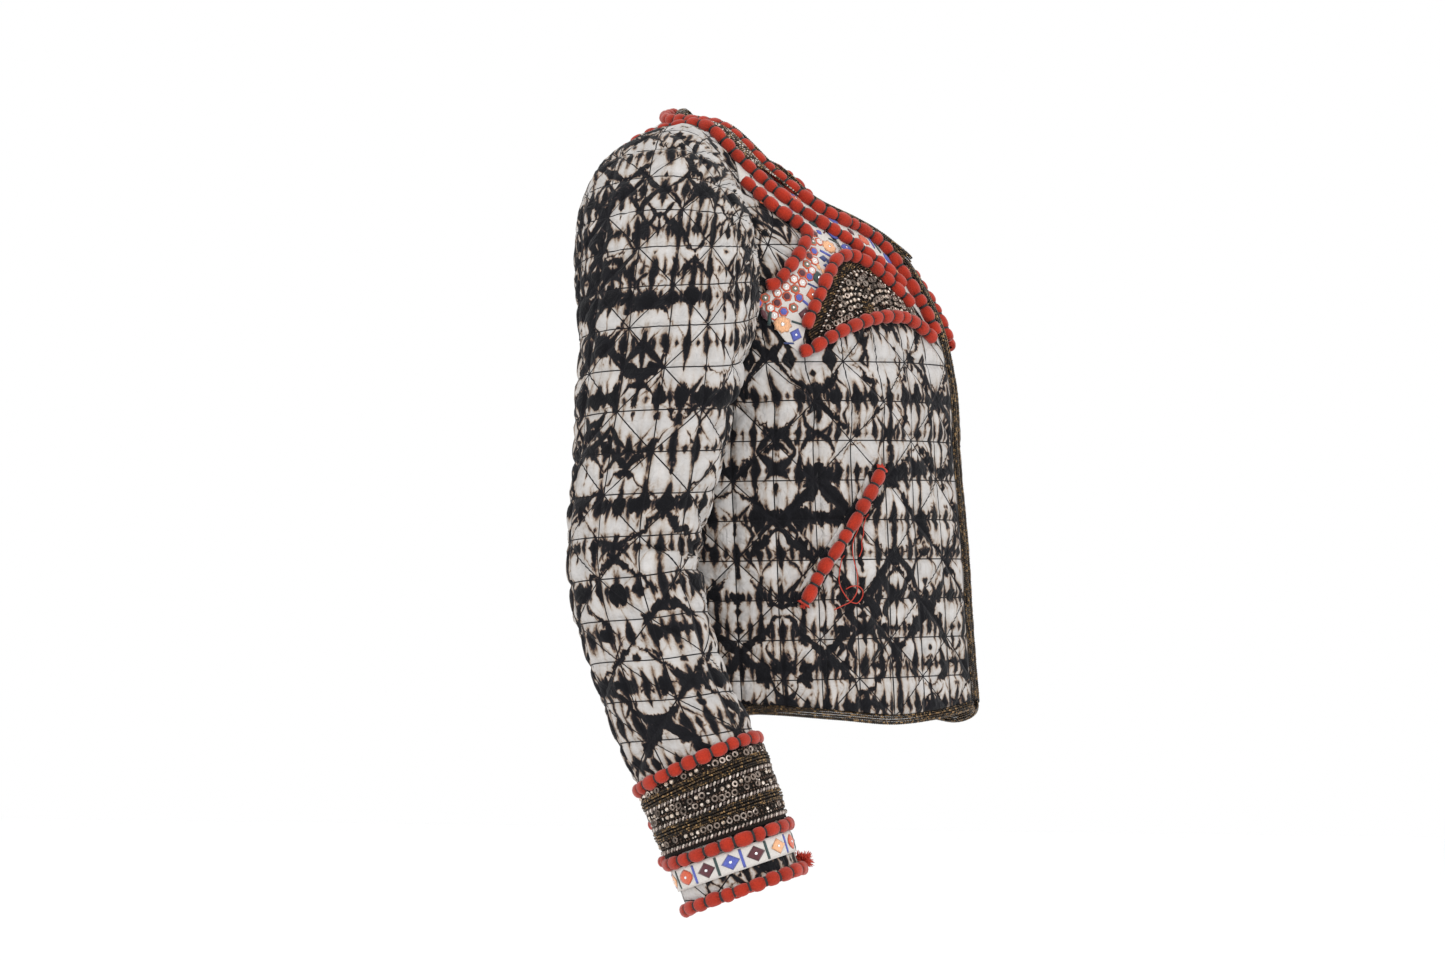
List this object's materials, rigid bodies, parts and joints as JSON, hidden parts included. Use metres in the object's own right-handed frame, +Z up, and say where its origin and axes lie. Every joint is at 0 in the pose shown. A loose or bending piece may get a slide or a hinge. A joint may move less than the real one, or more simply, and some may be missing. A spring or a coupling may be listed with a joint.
{
  "type": "mirror work jacket",
  "caption": "Short quilted long-sleeved jacket in its worn, hollow form: edge-to-edge front, round neck, puffed cord trim, beaded yoke and cuffs.",
  "frame": {"origin": "midway between the shoulders, at their height, where the wearer holds the jacket up", "axes": "+Z up, the fronts face -Y, the wearer's right is -X"},
  "size_m": [0.5643, 0.3729, 0.6523],
  "materials": {
    "quilted_cotton": "matt, resist-dyed black on cream, quilted",
    "embroidered_cotton": "matt white cloth with coloured stitches and small mirrors",
    "puff_cotton": "matt red cloth tied off into puffs",
    "bronze_beads": "glass seed beads on cloth, bronze lustre",
    "crystal_beads": "clear beads and metal sequins on dark cloth"
  },
  "bodies": {
    "root": {"back": "quilted_cotton", "front_right": "quilted_cotton", "front_left": "quilted_cotton", "side_right": "quilted_cotton", "side_left": "quilted_cotton", "sleeve_right": "quilted_cotton", "sleeve_left": "quilted_cotton", "pocket_welt_right": "quilted_cotton", "pocket_welt_left": "quilted_cotton", "neck_strip_right": "embroidered_cotton", "neck_strip_left": "embroidered_cotton", "chest_band_right": "embroidered_cotton", "chest_band_left": "embroidered_cotton", "point_band_right": "embroidered_cotton", "point_band_left": "embroidered_cotton", "mirror_band_right": "embroidered_cotton", "mirror_band_left": "embroidered_cotton", "neck_cord_right": "puff_cotton", "neck_cord_left": "puff_cotton", "middle_cord_right": "puff_cotton", "middle_cord_left": "puff_cotton", "outer_cord_right": "puff_cotton", "outer_cord_left": "puff_cotton", "point_cord_right": "puff_cotton", "point_cord_left": "puff_cotton", "base_cord_right": "puff_cotton", "base_cord_left": "puff_cotton", "cuff_cord_1_right": "puff_cotton", "cuff_cord_1_left": "puff_cotton", "cuff_cord_2_right": "puff_cotton", "cuff_cord_2_left": "puff_cotton", "cuff_cord_3_right": "puff_cotton", "cuff_cord_3_left": "puff_cotton", "pocket_cord_right": "puff_cotton", "pocket_cord_left": "puff_cotton", "hem_braid": "bronze_beads", "neck_braid": "bronze_beads", "front_braid_right": "bronze_beads", "front_braid_left": "bronze_beads", "bead_triangle_right": "crystal_beads", "bead_triangle_left": "crystal_beads", "bead_band_right": "crystal_beads", "bead_band_left": "crystal_beads"}
  },
  "joints": []
}
